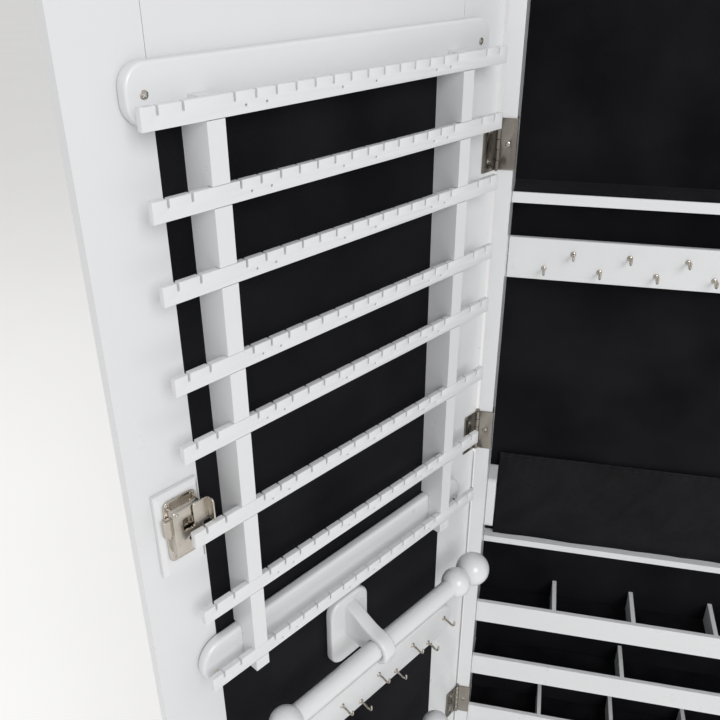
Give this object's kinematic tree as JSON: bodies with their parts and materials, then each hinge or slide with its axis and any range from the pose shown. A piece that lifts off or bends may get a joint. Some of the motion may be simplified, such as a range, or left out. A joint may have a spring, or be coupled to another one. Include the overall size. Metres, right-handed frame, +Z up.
{
  "type": "jewelry armoire",
  "caption": "Free-standing tilting jewelry armoire with a mirrored door, opened to show its earring rack, bangle rods, hooks, pouch and divided trays.",
  "frame": {"origin": "on the floor, under the middle of the overall box with the door open as at rest", "axes": "+Z up, front towards -Y, +X to the right seen from the front"},
  "size_m": [0.5634, 0.509, 1.5],
  "materials": {
    "white_lacquer": "semi-gloss white lacquer on fibreboard",
    "black_velvet": "short-pile black velvet on thin board",
    "black_cloth": "gathered black cloth with a slight sheen",
    "nickel": "bright nickel plate",
    "mirror_glass": "silvered plate glass"
  },
  "bodies": {
    "stand": {"left_foot": "white_lacquer", "right_foot": "white_lacquer", "left_post": "white_lacquer", "right_post": "white_lacquer", "stretcher": "white_lacquer"},
    "left_knob": {"left_knob": "nickel"},
    "right_knob": {"right_knob": "nickel"},
    "cabinet": {"left_side": "white_lacquer", "right_side": "white_lacquer", "top_board": "white_lacquer", "bottom_board": "white_lacquer", "back_board": "white_lacquer", "back_velvet": "black_velvet", "left_pivot_block": "white_lacquer", "right_pivot_block": "white_lacquer", "upper_shelf": "white_lacquer", "necklace_hook_board": "white_lacquer", "necklace_pouch": "black_cloth", "pouch_rail": "white_lacquer", "tray_1": "white_lacquer", "tray_2": "white_lacquer", "tray_3": "white_lacquer", "tray_4": "white_lacquer", "tray_5": "white_lacquer", "cabinet_hinge_leaf_1": "nickel", "cabinet_hinge_leaf_2": "nickel", "cabinet_hinge_leaf_3": "nickel", "cabinet_hinge_leaf_4": "nickel"},
    "door": {"hinge_stile": "white_lacquer", "lock_stile": "white_lacquer", "door_top_rail": "white_lacquer", "door_bottom_rail": "white_lacquer", "mirror": "mirror_glass", "velvet_panel": "black_velvet", "door_top_panel": "white_lacquer", "rack_top_rail": "white_lacquer", "rack_bottom_rail": "white_lacquer", "rack_slat_1": "white_lacquer", "rack_slat_2": "white_lacquer", "rack_slat_3": "white_lacquer", "rack_slat_4": "white_lacquer", "rack_slat_5": "white_lacquer", "rack_slat_6": "white_lacquer", "rack_slat_7": "white_lacquer", "rack_slat_8": "white_lacquer", "rack_upright_hinge_side": "white_lacquer", "rack_upright_lock_side": "white_lacquer", "bangle_rod_1": "white_lacquer", "rod_bracket_1": "white_lacquer", "bangle_rod_2": "white_lacquer", "rod_bracket_2": "white_lacquer", "door_hook_board": "white_lacquer", "lock_block": "white_lacquer", "lock_case": "nickel", "door_hinge_leaf_1": "nickel", "door_hinge_leaf_2": "nickel", "door_hinge_leaf_3": "nickel", "door_hinge_leaf_4": "nickel"},
    "lock_bolt": {"lock_bolt": "nickel"},
    "lock_cylinder": {"lock_cylinder": "nickel"}
  },
  "joints": [
    {"name": "cabinet_tilt", "type": "hinge", "parent": "stand", "child": "cabinet", "pos_m": [0.07037, 0.07452, 0.97], "axis": [-1, 0, 0], "range_deg": [-1.5, 12]},
    {"name": "door_hinge", "type": "hinge", "parent": "cabinet", "child": "door", "pos_m": [-0.09623, 0.02832, 0.97], "axis": [0, 0, 1], "range_deg": [-20, 121.4]},
    {"name": "left_knob_turn", "type": "hinge", "parent": "stand", "child": "left_knob", "pos_m": [-0.12963, 0.07452, 0.97], "axis": [-1, 0, 0], "range_deg": [0, 270]},
    {"name": "right_knob_turn", "type": "hinge", "parent": "stand", "child": "right_knob", "pos_m": [0.27037, 0.07452, 0.97], "axis": [1, 0, 0], "range_deg": [0, 270]},
    {"name": "lock_turn", "type": "hinge", "parent": "door", "child": "lock_cylinder", "pos_m": [-0.25583, -0.23083, 1.146], "axis": [0.8536, -0.521, 0], "range_deg": [0, 90]},
    {"name": "bolt_slide", "type": "slide", "parent": "door", "child": "lock_bolt", "axis": [-0.521, -0.8536, 0], "range_m": [0, 0.006]}
  ],
  "couplings": [
    {"joint": "lock_turn", "follows": "bolt_slide", "rad_per_m": 261.7}
  ]
}
